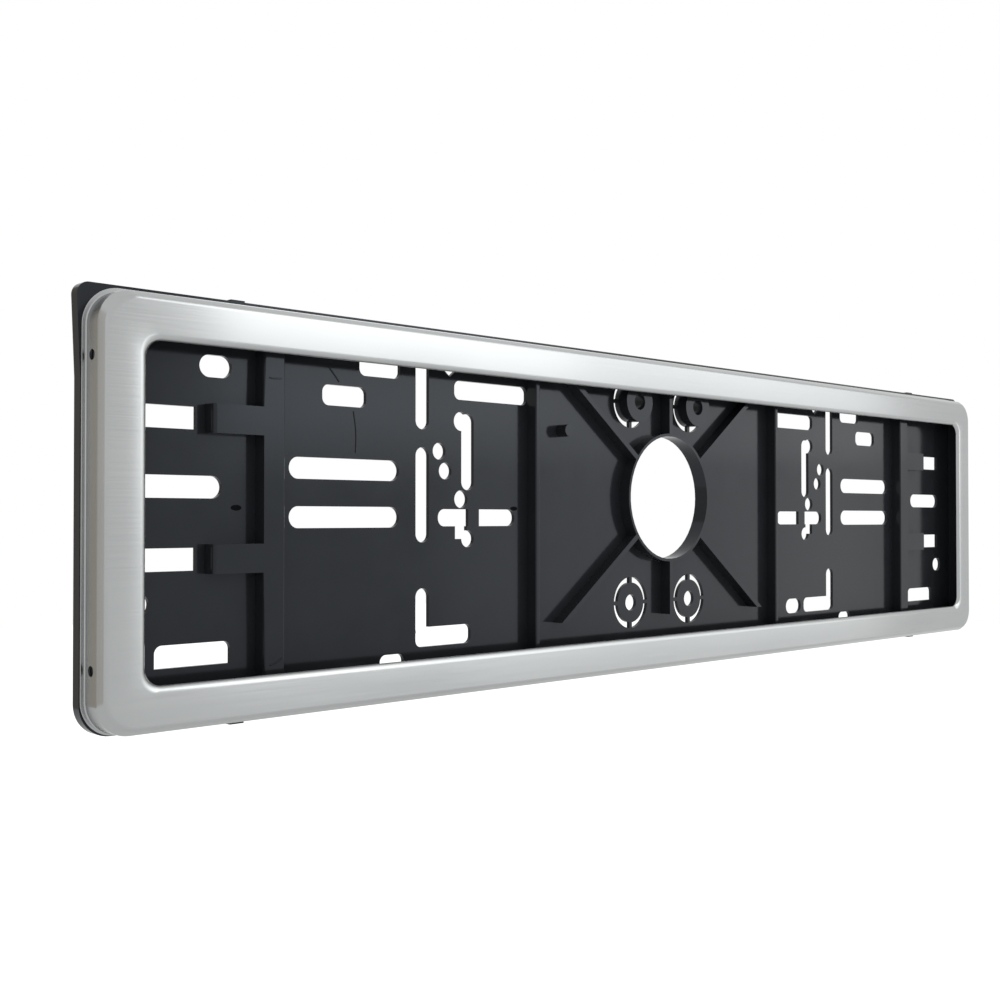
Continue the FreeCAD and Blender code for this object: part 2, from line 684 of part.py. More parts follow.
def draw_left_slots(body, sizes):
    """The slots and holes of the left half."""
    width = sizes.slot_width
    rounded = [sizes.slot_corner_radius] * 4
    floor_front = sizes.floor_gauge

    fields = Outline(body, "field_slot_outline", floor_front)
    for half_pitch in (sizes.bolt_slot_pitch / 2, sizes.bolt_slot_pitch / -2):
        fields.flat_slot(-(sizes.bolt_slot_near + sizes.bolt_slot_length), -sizes.bolt_slot_near,
                         sizes.bolt_slot_rise + half_pitch, sizes.bolt_slot_width)
    fields.flat_slot(-(sizes.end_slot_near + sizes.end_slot_length), -sizes.end_slot_near,
                     sizes.end_slot_rise, width)
    fields.flat_slot(-(sizes.eye_slot_near + sizes.eye_slot_length), -sizes.eye_slot_near,
                     -sizes.eye_slot_drop, width)
    for rise in (sizes.upper_finger_rise, -sizes.lower_finger_drop):
        fields.rectangle(-(sizes.window_slot_near + sizes.window_slot_length), -sizes.window_slot_near,
                         rise - width / 2, rise + width / 2)
    for near, length, rise, radii in (
            (sizes.short_slot_near, sizes.short_slot_length, sizes.short_slot_rise, rounded),
            (sizes.top_slot_near, sizes.top_slot_length, sizes.top_slot_rise, rounded),
            (sizes.sole_slot_near, sizes.sole_slot_length, -sizes.sole_slot_drop, rounded),
            (sizes.inner_slot_near, sizes.inner_slot_length, sizes.inner_slot_rise, rounded),
            (sizes.foot_slot_near, sizes.foot_slot_length, -sizes.foot_slot_drop,
             [0, 0] + rounded[:2])):
        fields.rectangle(-(near + length), -near, rise - width / 2, rise + width / 2, radii)
    field_pocket = pocket(body, "field_slots", fields)

    tracks = Outline(body, "track_outline", floor_front)
    track = sizes.track_width
    tracks.upright_slot(-sizes.track_line, track, -sizes.track_foot_drop, sizes.track_head_rise)
    tracks.upright_slot(-sizes.track_line, track, sizes.high_track_foot_rise, sizes.high_track_head_rise)
    tracks.upright_slot(-sizes.key_line, track, sizes.key_foot_rise, sizes.key_head_rise)
    tracks.rectangle(-(sizes.track_line + track / 2), -sizes.boot_near,
                     -(sizes.boot_drop + width / 2), width / 2 - sizes.boot_drop, rounded)
    dash_radii = (sizes.dash_corner_radius, 0, 0, sizes.dash_corner_radius)
    dash_low, dash_high = -(sizes.dash_drop + sizes.dash_width / 2), sizes.dash_width / 2 - sizes.dash_drop
    tracks.rectangle(-(sizes.outer_dash_near + sizes.outer_dash_length), -sizes.outer_dash_near,
                     dash_low, dash_high, dash_radii)
    tracks.rectangle(-(sizes.inner_dash_near + sizes.inner_dash_length), -sizes.inner_dash_near,
                     dash_low, dash_high, (0,) + (sizes.dash_corner_radius,) * 2 + (0,))
    tracks.circle(-sizes.outer_pinhole_line, sizes.outer_pinhole_rise, sizes.pinhole_radius)
    tracks.circle(-sizes.inner_pinhole_line, sizes.inner_pinhole_rise, sizes.pinhole_radius)
    tracks.polygon([(-sizes.arrow_line, sizes.arrow_tip_rise),
                    (sizes.arrow_half_width - sizes.arrow_line, sizes.arrow_tip_rise + sizes.arrow_height),
                    (-(sizes.arrow_line + sizes.arrow_half_width),
                     sizes.arrow_tip_rise + sizes.arrow_height)])
    track_pocket = pocket(body, "tracks", tracks)

    joined = Outline(body, "joined_slot_outline", floor_front)
    joined.circle(-sizes.eyelet_line, sizes.key_eyelet_rise, sizes.eyelet_radius)
    joined.circle(-sizes.eyelet_line, sizes.drop_eyelet_rise, sizes.drop_eyelet_radius)
    joined.upright_slot(-sizes.track_line, track, -sizes.boot_drop, -sizes.boot_head_drop)
    joined.rectangle(-(sizes.eyelet_line + sizes.dash_foot_width / 2),
                     sizes.dash_foot_width / 2 - sizes.eyelet_line, -sizes.dash_foot_drop, -sizes.dash_drop)
    joined_pocket = pocket(body, "joined_slots", joined)
    toe = Outline(body, "dash_toe_outline", floor_front)
    toe.circle(-sizes.key_line, -sizes.dash_foot_drop, sizes.dash_toe_radius)
    toe_pocket = pocket(body, "dash_toe", toe)
    return [field_pocket, track_pocket, joined_pocket, toe_pocket]


def draw_left_tabs(body, sizes, layout):
    """Low tabs that stand out from the tray's top and bottom edges."""
    half_width = sizes.tab_width / 2
    left, right = -(sizes.tab_line + half_width), half_width - sizes.tab_line
    tabs = Outline(body, "tab_outline", 0)
    root = sizes.wall_gauge / 2
    tabs.rectangle(left, right, layout.tray_top - root, layout.tray_top + sizes.top_tab_rise)
    tabs.rectangle(left, right, layout.tray_bottom - sizes.bottom_tab_drop, layout.tray_bottom + root)
    return [pad(body, "tabs", tabs, sizes.rim_height)]


def build_backplate(document, sizes, layout):
    """The moulded tray, drawn on the left and mirrored, with what stands in one half only."""
    body = add_body(document, "backplate")
    draw_tray_shell(body, sizes, layout)
    draw_hub_and_ribs(body, sizes, layout)
    originals = draw_left_ribs(body, sizes, layout)
    originals += draw_left_discs(body, sizes, layout)
    originals += draw_left_slots(body, sizes)
    originals += draw_left_tabs(body, sizes, layout)
    document.recompute()
    mirror(body, "right_half", originals)

    width = sizes.slot_width
    single = Outline(body, "single_slot_outline", sizes.floor_gauge)
    single.flat_slot(-(sizes.left_slot_near + sizes.left_slot_length), -sizes.left_slot_near,
                     sizes.left_slot_rise, width)
    single.flat_slot(sizes.right_slot_near, sizes.right_slot_near + sizes.right_slot_length,
                     -sizes.right_slot_drop, width)
    pocket(body, "single_slots", single)
    return body


def check(document, bodies):
    """Stops if a feature failed, or if a piece is not one valid solid."""
    for item in document.Objects:
        if "Invalid" in item.State or "Error" in item.State:
            raise RuntimeError("%s is not up to date: %s" % (item.Name, item.State))
    for body in bodies:
        shape = body.Shape
        if shape.isNull() or not shape.isValid() or len(shape.Solids) != 1:
            raise RuntimeError("%s is not one valid solid" % body.Label)


def main():
    document = FreeCAD.newDocument("number_plate_holder")
    sizes = SizeSheet(document)
    layout = Layout(sizes)
    bodies = [build_trim_frame(document, sizes, layout), build_backplate(document, sizes, layout)]
    for body in bodies:
        body.setExpression("Placement.Base.z", (-sizes.bolt_slot_rise).formula)
    document.recompute()
    check(document, bodies)
    os.makedirs("parts", exist_ok=True)
    for body in bodies:
        body.Shape.exportStep("parts/%s.step" % body.Label)
        print(body.Label, body.Shape.BoundBox, round(body.Shape.Volume, 1))


main()
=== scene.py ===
# %% [markdown]
# This is a holder for a long number plate. A black moulded tray is bolted to the car, and a frame
# of brushed stainless sheet snaps over it and clamps the edges of the plate.
#
# The solids come from a CAD model that is already packed. This lesson loads them and gives them
# their looks, in metres and in the same axes: X along the plate, the front facing -Y, and Z up.
# Loading comes first, because every piece made later is placed by what the CAD model says.

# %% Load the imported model
import math

import bmesh
import bpy
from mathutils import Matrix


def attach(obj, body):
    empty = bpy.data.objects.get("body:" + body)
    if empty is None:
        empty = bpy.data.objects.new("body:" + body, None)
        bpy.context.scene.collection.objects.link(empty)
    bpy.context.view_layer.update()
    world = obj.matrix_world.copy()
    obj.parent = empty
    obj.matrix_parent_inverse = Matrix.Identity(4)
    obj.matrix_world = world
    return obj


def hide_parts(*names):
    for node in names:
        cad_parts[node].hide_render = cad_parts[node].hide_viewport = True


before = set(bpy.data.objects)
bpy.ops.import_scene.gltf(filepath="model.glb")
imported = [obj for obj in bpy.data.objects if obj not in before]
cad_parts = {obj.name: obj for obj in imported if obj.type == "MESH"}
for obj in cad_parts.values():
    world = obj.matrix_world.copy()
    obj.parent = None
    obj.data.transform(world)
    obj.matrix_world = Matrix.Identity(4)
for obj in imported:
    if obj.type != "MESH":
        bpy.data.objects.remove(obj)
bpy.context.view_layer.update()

print("CAD nodes:", sorted(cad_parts))

# %% [markdown]
# A drawing gives sizes in millimetres, and Blender works in metres. One named factor keeps the
# numbers below readable: each size is written as on the drawing and multiplied where it is used.

# %% Units
MM = 0.001


render_scene = bpy.context.scene
render_scene.view_settings.view_transform = "Standard"

# %% [markdown]
# The photograph was taken from the left of the holder, close to it, almost level with its middle.
# A camera could be aimed by eye, but here its place, heading and lens were worked out from the
# corners of the steel frame, so that the render can be compared with the photograph line by line.

# %% Camera
CAMERA_PLACE = (-450.8, -361.35, -8.8)
CAMERA_HEADING = 44.34
CAMERA_RISE = 0.82
CAMERA_LENS = 46.58
SENSOR_WIDTH = 36

camera_data = bpy.data.cameras.new("camera")
camera_data.lens = CAMERA_LENS
camera_data.sensor_width = SENSOR_WIDTH
camera = bpy.data.objects.new("camera", camera_data)
camera.location = [value * MM for value in CAMERA_PLACE]
camera.rotation_euler = (math.radians(90 + CAMERA_RISE), 0, math.radians(-CAMERA_HEADING))
render_scene.collection.objects.link(camera)
render_scene.camera = camera
print("camera at", [round(value, 3) for value in camera.location], "lens", CAMERA_LENS, "mm")

# %% [markdown]
# Every finish is a node tree. Writing the same few calls again and again hides what a finish does,
# so a few small helpers come first. The main one adds a node with its settings and its inputs, and
# an input is given a number, or another node's output to link.

# %% Helpers for node trees
def feed(tree, socket, value):
    """Links a socket to another node's output, or gives it a plain value."""
    if isinstance(value, bpy.types.NodeSocket):
        tree.links.new(value, socket)
    else:
        socket.default_value = value


def add_node(tree, kind, inputs=None, **settings):
    """A new node with its settings and inputs, which are named or numbered."""
    node = tree.nodes.new(kind)
    for name, value in settings.items():
        setattr(node, name, value)
    for key, value in (inputs or {}).items():
        feed(tree, node.inputs[key], value)
    return node


def start_material(name):
    """An empty node material, and its tree."""
    material = bpy.data.materials.new(name)
    material.use_nodes = True
    material.node_tree.nodes.clear()
    return material, material.node_tree


def finish_material(tree, shader):
    """Ends a material with what its surface is."""
    add_node(tree, "ShaderNodeOutputMaterial", {"Surface": shader.outputs[0]})


print("node helpers ready")

# %% [markdown]
# The finishes share four small patterns: a noise that sticks to the piece, a map from that noise to
# a range of values, a mix of two colours, and a slight relief. The middle of a noise holds most of
# its values, so the map runs from 0.3 to 0.7 and not from 0 to 1.

# %% Helpers for patterns
NOISE_LOW = 0.3
NOISE_HIGH = 0.7
NOISE_DETAIL = 2.0


def object_noise(tree, scale, stretch=(1, 1, 1), detail=NOISE_DETAIL):
    """Noise that sticks to the piece, squeezed or stretched along its axes."""
    place = add_node(tree, "ShaderNodeTexCoord").outputs["Object"]
    turned = add_node(tree, "ShaderNodeMapping", {"Vector": place, "Scale": stretch})
    return add_node(tree, "ShaderNodeTexNoise",
                    {"Vector": turned.outputs[0], "Scale": scale, "Detail": detail}).outputs[0]


def spread(tree, value, low, high, start=NOISE_LOW, end=NOISE_HIGH):
    """Maps a value onto a range."""
    return add_node(tree, "ShaderNodeMapRange",
                    {"Value": value, "From Min": start, "From Max": end,
                     "To Min": low, "To Max": high}).outputs[0]


def mix_colours(tree, factor, first, second):
    """A mix of two colours, which sit in the node's inputs 6 and 7."""
    return add_node(tree, "ShaderNodeMix", {"Factor": factor, 6: first, 7: second},
                    data_type="RGBA").outputs[2]


def relief(tree, height, strength, depth):
    """A slight bump, whose depth is given in millimetres."""
    return add_node(tree, "ShaderNodeBump",
                    {"Strength": strength, "Distance": depth * MM, "Height": height}).outputs[0]


print("noise runs from", NOISE_LOW, "to", NOISE_HIGH)

# %% [markdown]
# The frame is pressed from stainless sheet that was brushed along its length. Brushing leaves fine
# grooves, so light is spread across them and hardly along them. Three things together show this:
# an anisotropic shader whose tangent comes from the piece's own UV map, a noise that is long in X
# and fine across it for the roughness and a slight bump, and a broad cloudy noise for the colour.

# %% Brushed steel
STEEL_PALE = (0.432, 0.444, 0.443, 1)
STEEL_DEEP = (0.384, 0.396, 0.399, 1)
STEEL_ROUGHNESS = (0.20, 0.24)
STEEL_BUMP = 0.05
GRAIN_STRETCH = (30, 2600, 2600)
GRAIN_DETAIL = 3.0
GRAIN_DEPTH = 0.03
GRAIN_SHARE = 0.45
CLOUD_STRETCH = (9, 30, 30)
ANISOTROPY = 0.97
ACROSS_THE_GRAIN = 0.25


def brushed_steel():
    material, tree = start_material("brushed_stainless")
    grain = object_noise(tree, 1.0, GRAIN_STRETCH, GRAIN_DETAIL)
    clouds = object_noise(tree, 1.0, CLOUD_STRETCH)
    shade = add_node(tree, "ShaderNodeMath",
                     {0: spread(tree, grain, 0.0, GRAIN_SHARE),
                      1: spread(tree, clouds, 0.0, 1 - GRAIN_SHARE)}, operation="ADD").outputs[0]
    tangent = add_node(tree, "ShaderNodeTangent", direction_type="UV_MAP", uv_map="grain")
    shader = add_node(tree, "ShaderNodeBsdfPrincipled",
                      {"Base Color": mix_colours(tree, shade, STEEL_DEEP, STEEL_PALE),
                       "Metallic": 1.0,
                       "Roughness": spread(tree, grain, *STEEL_ROUGHNESS),
                       "Anisotropic": ANISOTROPY, "Anisotropic Rotation": ACROSS_THE_GRAIN,
                       "Tangent": tangent.outputs[0],
                       "Normal": relief(tree, grain, STEEL_BUMP, GRAIN_DEPTH)})
    finish_material(tree, shader)
    return material


steel = brushed_steel()
print("material:", steel.name)

# %% [markdown]
# The tray is moulded in black plastic with a polished mould, so it is nearly a black mirror: most
# of the grey that it shows is the white room reflected in it. The base colour is therefore close
# to black, and the roughness is low and slightly uneven, as plastic is that cooled round ribs. What
# it reflects comes back a little cooler than it went in, and that is a tint of its own.

# %% Glossy black plastic
PLASTIC_BLACK = (0.0146, 0.0160, 0.0184, 1)
PLASTIC_WORN = (0.0170, 0.0186, 0.0212, 1)
PLASTIC_ROUGHNESS = (0.11, 0.15)
PLASTIC_IOR = 1.315
PLASTIC_BUMP = 0.05
GLOSS_TINT = (0.82, 0.90, 1, 1)
MOTTLE_SCALE = 60.0
MOTTLE_DETAIL = 4.0
SKIN_SCALE = 900.0
SKIN_DEPTH = 0.1


def gloss_black_plastic():
    material, tree = start_material("gloss_black_moulding")
    mottle = object_noise(tree, MOTTLE_SCALE, detail=MOTTLE_DETAIL)
    skin = object_noise(tree, SKIN_SCALE)
    shader = add_node(tree, "ShaderNodeBsdfPrincipled",
                      {"Base Color": mix_colours(tree, spread(tree, mottle, 0.0, 1.0),
                                                 PLASTIC_BLACK, PLASTIC_WORN),
                       "Roughness": spread(tree, mottle, *PLASTIC_ROUGHNESS),
                       "IOR": PLASTIC_IOR, "Specular Tint": GLOSS_TINT,
                       "Normal": relief(tree, skin, PLASTIC_BUMP, SKIN_DEPTH)})
    finish_material(tree, shader)
    return material


plastic = gloss_black_plastic()
print("material:", plastic.name)

# %% [markdown]
# The steel frame has one section all the way round: a lip at the window, a flat face, a sloped
# band, a skirt and a small flange behind. A sheet-metal drawing shows just this section, so the
# section is drawn first, as a closed outline with its bends rounded. The x of a point is how far it
# is outside the window's edge, and the y is how far it is in front of the tray's back.
#
# First comes the rounding. At each corner the outline turns from one heading to another, and an arc
# of the bend's radius takes the corner's place.

# %% Rounding an outline
BEND_STEPS = 7


def rounded_outline(corners):
    """Points of a closed outline. Each corner is (x, y, bend radius)."""
    points = []
    for index, (x, y, radius) in enumerate(corners):
        before, after = corners[index - 1], corners[(index + 1) % len(corners)]
        arrive = math.atan2(y - before[1], x - before[0])
        leave = math.atan2(after[1] - y, after[0] - x)
        turn = math.remainder(leave - arrive, 2 * math.pi)
        setback = radius * math.tan(abs(turn) / 2)
        side = math.copysign(1, turn)
        centre_x = x - setback * math.cos(arrive) - side * radius * math.sin(arrive)
        centre_y = y - setback * math.sin(arrive) + side * radius * math.cos(arrive)
        for step in range(BEND_STEPS + 1):
            heading = arrive + turn * step / BEND_STEPS
            points.append((centre_x + side * radius * math.sin(heading),
                           centre_y - side * radius * math.cos(heading)))
    return points


print("points in a bend:", BEND_STEPS + 1)

# %% [markdown]
# Now the section itself. Its outer corners come straight from the sizes below. The inner ones lie
# one gauge of the sheet behind them, and beside a slope they also shift by a share of the gauge.

# %% Section of the steel frame
SHEET_GAUGE = 0.6
BORDER_WIDTH = 14.2
FRONT = 13.75
LIP_DEPTH = 1.4
LIP_SLOPE = math.radians(62)
LIP_BEND = 2.4
LIP_EDGE_ROUNDING = 0.05
BAND_BEND = 1.9
BAND_WIDTH = 1.7
BAND_DEPTH = 2.6
SKIRT_BEND = 1.0
SKIRT_INNER_BEND = 0.5
FLANGE_BACK = 3.75
FLANGE_WIDTH = 1.5
FLANGE_FOOT_WIDTH = 0.4
FLANGE_BEND = 0.5
FLANGE_INNER_BEND = 1.0
FLANGE_EDGE_ROUNDING = 0.15


def sheet_section():
    """The bent sheet's outline, along its outer face and back along its inner face."""
    slope = math.hypot(BAND_WIDTH, BAND_DEPTH)
    inner_band = SHEET_GAUGE * (slope - BAND_DEPTH) / BAND_WIDTH
    inner_skirt = SHEET_GAUGE * (slope - BAND_WIDTH) / BAND_DEPTH
    lip_run = LIP_DEPTH / math.tan(LIP_SLOPE)
    under_x = SHEET_GAUGE * math.sin(LIP_SLOPE)
    under_y = FRONT - LIP_DEPTH - SHEET_GAUGE * math.cos(LIP_SLOPE)
    face_back = FRONT - SHEET_GAUGE
    under_run = under_x + (face_back - under_y) / math.tan(LIP_SLOPE)
    skirt_back = BORDER_WIDTH - SHEET_GAUGE
    flange_front = FLANGE_BACK + SHEET_GAUGE
    flange_edge = BORDER_WIDTH + FLANGE_WIDTH
    return rounded_outline([
        (0, FRONT - LIP_DEPTH, LIP_EDGE_ROUNDING),
        (lip_run, FRONT, LIP_BEND),
        (BORDER_WIDTH - BAND_WIDTH, FRONT, BAND_BEND),
        (BORDER_WIDTH, FRONT - BAND_DEPTH, SKIRT_BEND),
        (BORDER_WIDTH, flange_front, FLANGE_BEND),
        (flange_edge, flange_front, FLANGE_EDGE_ROUNDING),
        (flange_edge, FLANGE_BACK, FLANGE_EDGE_ROUNDING),
        (skirt_back, FLANGE_BACK, FLANGE_INNER_BEND),
        (skirt_back, FRONT - BAND_DEPTH - inner_skirt, SKIRT_INNER_BEND),
        (BORDER_WIDTH - BAND_WIDTH - inner_band, face_back, BAND_BEND - SHEET_GAUGE),
        (under_run, face_back, LIP_BEND - SHEET_GAUGE),
        (under_x, under_y, LIP_EDGE_ROUNDING)])


def closed_curve(name, points):
    """A closed poly curve in the XY plane, in metres."""
    curve = bpy.data.curves.new(name, "CURVE")
    curve.dimensions = "2D"
    spline = curve.splines.new("POLY")
    spline.points.add(len(points) - 1)
    for point, (x, y) in zip(spline.points, points):
        point.co = (x * MM, y * MM, 0, 1)
    spline.use_cyclic_u = True
    drawing = bpy.data.objects.new(name, curve)
    render_scene.collection.objects.link(drawing)
    return drawing


section = closed_curve("frame_section", sheet_section())
print("section points:", len(section.data.splines[0].points))

# %% [markdown]
# A plain sweep of that section round the window would not do. It would give the outer corners a
# radius of nearly 20 mm. The real one is about half of that, because the outer corners and the
# window's don't share a centre. Geometry Nodes can follow the real rule instead.
#
# The helper below starts a tree with its named inputs, adds nodes to it, and at the end bakes it:
# the modifier gets the inputs' values, runs once on an empty mesh, and its result is kept as a
# plain mesh.

# %% A helper for Geometry Nodes
class GeometryTree:
    """A Geometry Nodes tree in the making. Its inputs are given as name: (kind, value)."""

    def __init__(self, name, inputs):
        self.tree = bpy.data.node_groups.new(name, "GeometryNodeTree")
        self.tree.is_modifier = True
        interface = self.tree.interface
        interface.new_socket("Geometry", in_out="OUTPUT", socket_type="NodeSocketGeometry")
        self.group_input = self.tree.nodes.new("NodeGroupInput")
        self.values = {}
        for label, (kind, value) in inputs.items():
            socket = interface.new_socket(label, in_out="INPUT", socket_type="NodeSocket" + kind)
            self.values[socket.identifier] = value

    def value(self, label):
        """The named input, to link to a node."""
        return self.group_input.outputs[label]

    def node(self, kind, inputs=None, **settings):
        return add_node(self.tree, kind, inputs, **settings)

    def math(self, operation, first, second=0.0):
        return self.node("ShaderNodeMath", {0: first, 1: second}, operation=operation).outputs[0]

    def remember(self, geometry, kind, **fields):
        """Stores fields on the points of a geometry, to be read after it has changed."""
        capture = self.node("GeometryNodeCaptureAttribute", {"Geometry": geometry})
        for name, field in fields.items():
            capture.capture_items.new(kind, name)
            feed(self.tree, capture.inputs[name], field)
        return capture.outputs

    def finish(self, geometry):
        self.node("NodeGroupOutput", {"Geometry": geometry})

    def bake(self, name):
        """Runs the tree on an empty mesh and keeps the result as a plain mesh object."""
        carrier = bpy.data.objects.new(name + "_carrier", bpy.data.meshes.new(name + "_carrier"))
        modifier = carrier.modifiers.new(name, "NODES")
        modifier.node_group = self.tree
        for identifier, value in self.values.items():
            modifier[identifier] = value
        render_scene.collection.objects.link(carrier)
        graph = bpy.context.evaluated_depsgraph_get()
        mesh = bpy.data.meshes.new_from_object(carrier.evaluated_get(graph))
        bpy.data.objects.remove(carrier)
        mesh.name = name
        piece = bpy.data.objects.new(name, mesh)
        render_scene.collection.objects.link(piece)
        return piece


print("tree helper ready")

# %% [markdown]
# The tree has the sizes of the drawing as named inputs. The window's centre lies a little below the
# origin, because the origin is the middle of the four bolt slots. The flange is narrower along the
# foot of the frame, and the border a little wider at its two ends.

# %% Inputs of the steel frame's tree
WINDOW_LENGTH = 515.8
WINDOW_HEIGHT = 103.5
WINDOW_CORNER = 5.4
OUTER_CORNER = 10.5
END_BORDER_GAIN = 0.6
WINDOW_DROP = 7.1
CORNER_STEPS = 20
END_HOLE_RADIUS = 1.6
END_HOLE_RISE = 46.3
END_HOLE_SETBACK = 6.0
FRAME_INPUTS = {
    "Window Length": ("Float", WINDOW_LENGTH * MM),
    "Window Height": ("Float", WINDOW_HEIGHT * MM),
    "Window Corner Radius": ("Float", WINDOW_CORNER * MM),
    "Outer Corner Radius": ("Float", OUTER_CORNER * MM),
    "Border Width": ("Float", BORDER_WIDTH * MM),
    "Flange Foot Share": ("Float", FLANGE_FOOT_WIDTH / FLANGE_WIDTH),
    "End Border Gain": ("Float", END_BORDER_GAIN * MM),
    "Window Drop": ("Float", WINDOW_DROP * MM),
    "Corner Steps": ("Int", CORNER_STEPS),
    "Section": ("Object", section),
    "End Hole Radius": ("Float", END_HOLE_RADIUS * MM),
    "End Hole Rise": ("Float", END_HOLE_RISE * MM),
    "End Hole Depth": ("Float", (FRONT - END_HOLE_SETBACK) * MM),
    "Finish": ("Material", steel)}
print("inputs:", ", ".join(FRAME_INPUTS))

# %% [markdown]
# The sheet starts as a circle, which Curve to Mesh gives the drawn section. Only the grid of points
# matters here, and not where they lie: each point of the circle remembers its angle and the
# diagonal of its corner, and each point of the section remembers its place on the drawing.

# %% What the points remember
QUARTER = math.pi / 2
CORNERS = 4


def turn_points(tree):
    """A circle whose points carry their angle, and the angle of their corner's diagonal."""
    steps = tree.value("Corner Steps")
    per_corner = tree.math("ADD", steps, 1.0)
    turn = tree.node("GeometryNodeCurvePrimitiveCircle",
                     {"Resolution": tree.math("MULTIPLY", per_corner, CORNERS)})
    index = tree.node("GeometryNodeInputIndex").outputs[0]
    corner = tree.math("FLOOR", tree.math("DIVIDE", tree.math("ADD", index, 0.5), per_corner))
    share = tree.math("DIVIDE", tree.math("MODULO", index, per_corner), steps)
    return tree.remember(
        turn.outputs["Curve"], "FLOAT",
        angle=tree.math("MULTIPLY", tree.math("ADD", corner, share), QUARTER),
        diagonal=tree.math("MULTIPLY", tree.math("ADD", corner, 0.5), QUARTER))


def section_points(tree):
    """The drawn section, whose points carry their place on the drawing."""
    drawn = tree.node("GeometryNodeObjectInfo", {"Object": tree.value("Section")})
    place = tree.node("GeometryNodeInputPosition").outputs[0]
    return tree.remember(drawn.outputs["Geometry"], "VECTOR", place=place)


print("corners:", CORNERS, "of", math.degrees(QUARTER), "degrees")

# %% [markdown]
# Set Position then puts each point on its own rounded rectangle. The rectangle grows with the
# point's offset from the window, and its corner radius grows from the window's to the outer one.
# Past the border, on the flange, the offset is cut down along the foot.

# %% The swept sheet
def swept_sheet(tree, turn, drawn):
    """The section carried round the window."""
    grid = tree.node("GeometryNodeCurveToMesh",
                     {"Curve": turn["Geometry"], "Profile Curve": drawn["Geometry"]})
    apart = tree.node("ShaderNodeSeparateXYZ", {0: drawn["place"]})
    offset, forward = apart.outputs[0], apart.outputs[1]
    border, window_corner = tree.value("Border Width"), tree.value("Window Corner Radius")

    inside = tree.math("MINIMUM", offset, border)
    share = tree.math("DIVIDE", inside, border)
    rounder = tree.math("SUBTRACT", tree.value("Outer Corner Radius"), window_corner)
    growth = tree.math("MULTIPLY", share, rounder)
    below = tree.math("LESS_THAN", tree.math("SINE", turn["diagonal"]), 0.0)
    cut = tree.math("MULTIPLY", below, tree.math("SUBTRACT", 1.0, tree.value("Flange Foot Share")))
    beyond = tree.math("SUBTRACT", offset, inside)
    narrowed = tree.math("MULTIPLY", beyond, tree.math("SUBTRACT", 1.0, cut))
    radius = tree.math("ADD", tree.math("ADD", window_corner, growth), narrowed)
    to_window = tree.math("SUBTRACT", 1.0, share)
    gained = tree.math("MULTIPLY", to_window, tree.value("End Border Gain"))

    placed = []
    for size, wave, margin in (("Window Length", "COSINE", tree.math("SUBTRACT", offset, gained)),
                               ("Window Height", "SINE", tree.math("ADD", inside, narrowed))):
        half = tree.math("ADD", tree.math("MULTIPLY", tree.value(size), 0.5), margin)
        side = tree.math("SIGN", tree.math(wave, turn["diagonal"]))
        centre = tree.math("MULTIPLY", side, tree.math("SUBTRACT", half, radius))
        reach = tree.math("MULTIPLY", radius, tree.math(wave, turn["angle"]))
        placed.append(tree.math("ADD", centre, reach))
    position = tree.node("ShaderNodeCombineXYZ",
                         {0: placed[0], 1: tree.math("MULTIPLY", forward, -1.0),
                          2: tree.math("SUBTRACT", placed[1], tree.value("Window Drop"))})
    return tree.node("GeometryNodeSetPosition",
                     {"Geometry": grid.outputs[0], "Position": position.outputs[0]}).outputs[0]


print("the sheet's rule is ready")

# %% [markdown]
# Two small round holes go through each end of the skirt. Their punches are one cylinder, placed on
# four points. A point's number says whether it is at the left or the right, and low or high.

# %% Punches for the end holes
PUNCHES = 4
PUNCH_LENGTH = 3
PUNCH_SIDES = 32


def left_or_right(tree, number):
    """-1 or 1, for an even or an odd number."""
    odd = tree.math("MODULO", number, 2.0)
    return tree.math("SUBTRACT", tree.math("MULTIPLY", odd, 2.0), 1.0)


def end_punches(tree):
    """Four short cylinders across the two end walls."""
    half_length = tree.math("MULTIPLY", tree.value("Window Length"), 0.5)
    wall = tree.math("SUBTRACT", tree.math("ADD", half_length, tree.value("Border Width")),
                     SHEET_GAUGE / 2 * MM)
    number = tree.node("GeometryNodeInputIndex").outputs[0]
    row = tree.math("FLOOR", tree.math("MULTIPLY", number, 0.5))
    rise = tree.math("MULTIPLY", left_or_right(tree, row), tree.value("End Hole Rise"))
    centre = tree.node("ShaderNodeCombineXYZ",
                       {0: tree.math("MULTIPLY", left_or_right(tree, number), wall),
                        1: tree.math("MULTIPLY", tree.value("End Hole Depth"), -1.0),
                        2: tree.math("SUBTRACT", rise, tree.value("Window Drop"))})
    points = tree.node("GeometryNodePoints", {"Count": PUNCHES})
    spots = tree.node("GeometryNodeSetPosition",
                      {"Geometry": points.outputs[0], "Position": centre.outputs[0]})
    punch = tree.node("GeometryNodeMeshCylinder",
                      {"Vertices": PUNCH_SIDES, "Radius": tree.value("End Hole Radius"),
                       "Depth": PUNCH_LENGTH * MM})
    turned = tree.node("GeometryNodeTransform",
                       {"Geometry": punch.outputs[0], "Rotation": (0, QUARTER, 0)})
    punches = tree.node("GeometryNodeInstanceOnPoints",
                        {"Points": spots.outputs[0], "Instance": turned.outputs[0]})
    return tree.node("GeometryNodeRealizeInstances", {"Geometry": punches.outputs[0]}).outputs[0]


print("punches:", PUNCHES, "of", PUNCH_LENGTH, "mm")

# %% [markdown]
# Now the parts can be put together. A Boolean takes the punches out of the sheet, and its exact
# solver keeps the edges of the holes clean. The finish comes last and is an input too, so the same
# tree could press a frame of another size or metal.

